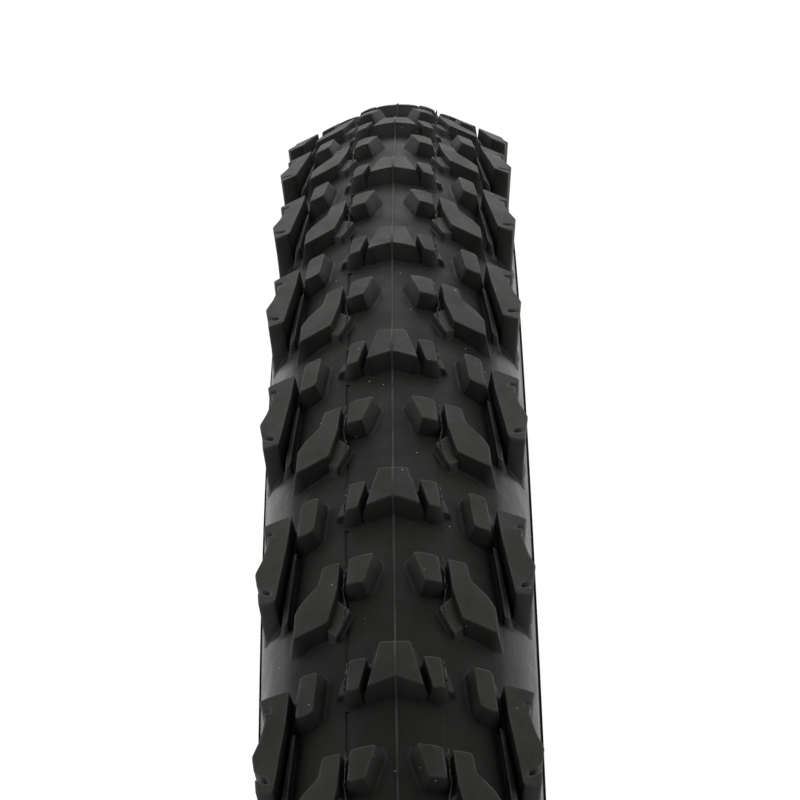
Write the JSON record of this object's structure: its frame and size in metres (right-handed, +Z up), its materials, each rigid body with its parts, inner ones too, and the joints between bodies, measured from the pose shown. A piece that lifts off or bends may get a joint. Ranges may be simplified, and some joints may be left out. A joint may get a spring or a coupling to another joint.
{
  "type": "bicycle tyre",
  "caption": "Knobbly off-road bicycle tyre with a chevron centre tread, tall side knobs and wired beads, free of its rim.",
  "frame": {"origin": "wheel centre: the centre of the tyre's axis, midway between the two beads", "axes": "+Y along the wheel axis to the rider's left, +Z up, +X the way the bicycle travels"},
  "size_m": [0.67, 0.0546, 0.67],
  "materials": {
    "tread_rubber": "matte charcoal moulded rubber",
    "sidewall_rubber": "smooth semi-gloss black moulded rubber",
    "breaker_cord": "rubbered woven cord",
    "casing_cord": "rubbered parallel nylon cord",
    "bead_steel": "bronze-plated drawn wire",
    "filler_rubber": "matte hard rubber",
    "chafer_rubber": "matte fabric-marked rubber"
  },
  "bodies": {
    "root": {"tread_base": "tread_rubber", "centre_chevron_knobs": "tread_rubber", "wing_knobs_left": "tread_rubber", "wing_knobs_right": "tread_rubber", "inner_ramp_knobs_left": "tread_rubber", "inner_ramp_knobs_right": "tread_rubber", "transition_knobs_left": "tread_rubber", "transition_knobs_right": "tread_rubber", "shoulder_blocks_left": "tread_rubber", "shoulder_blocks_right": "tread_rubber", "side_knobs_left": "tread_rubber", "side_knobs_right": "tread_rubber", "sidewall_left": "sidewall_rubber", "sidewall_right": "sidewall_rubber", "breaker_belt": "breaker_cord", "casing_ply_outer": "casing_cord", "casing_ply_inner": "casing_cord", "bead_wire_left": "bead_steel", "bead_wire_right": "bead_steel", "bead_filler_left": "filler_rubber", "bead_filler_right": "filler_rubber", "chafer_left": "chafer_rubber", "chafer_right": "chafer_rubber"}
  },
  "joints": []
}
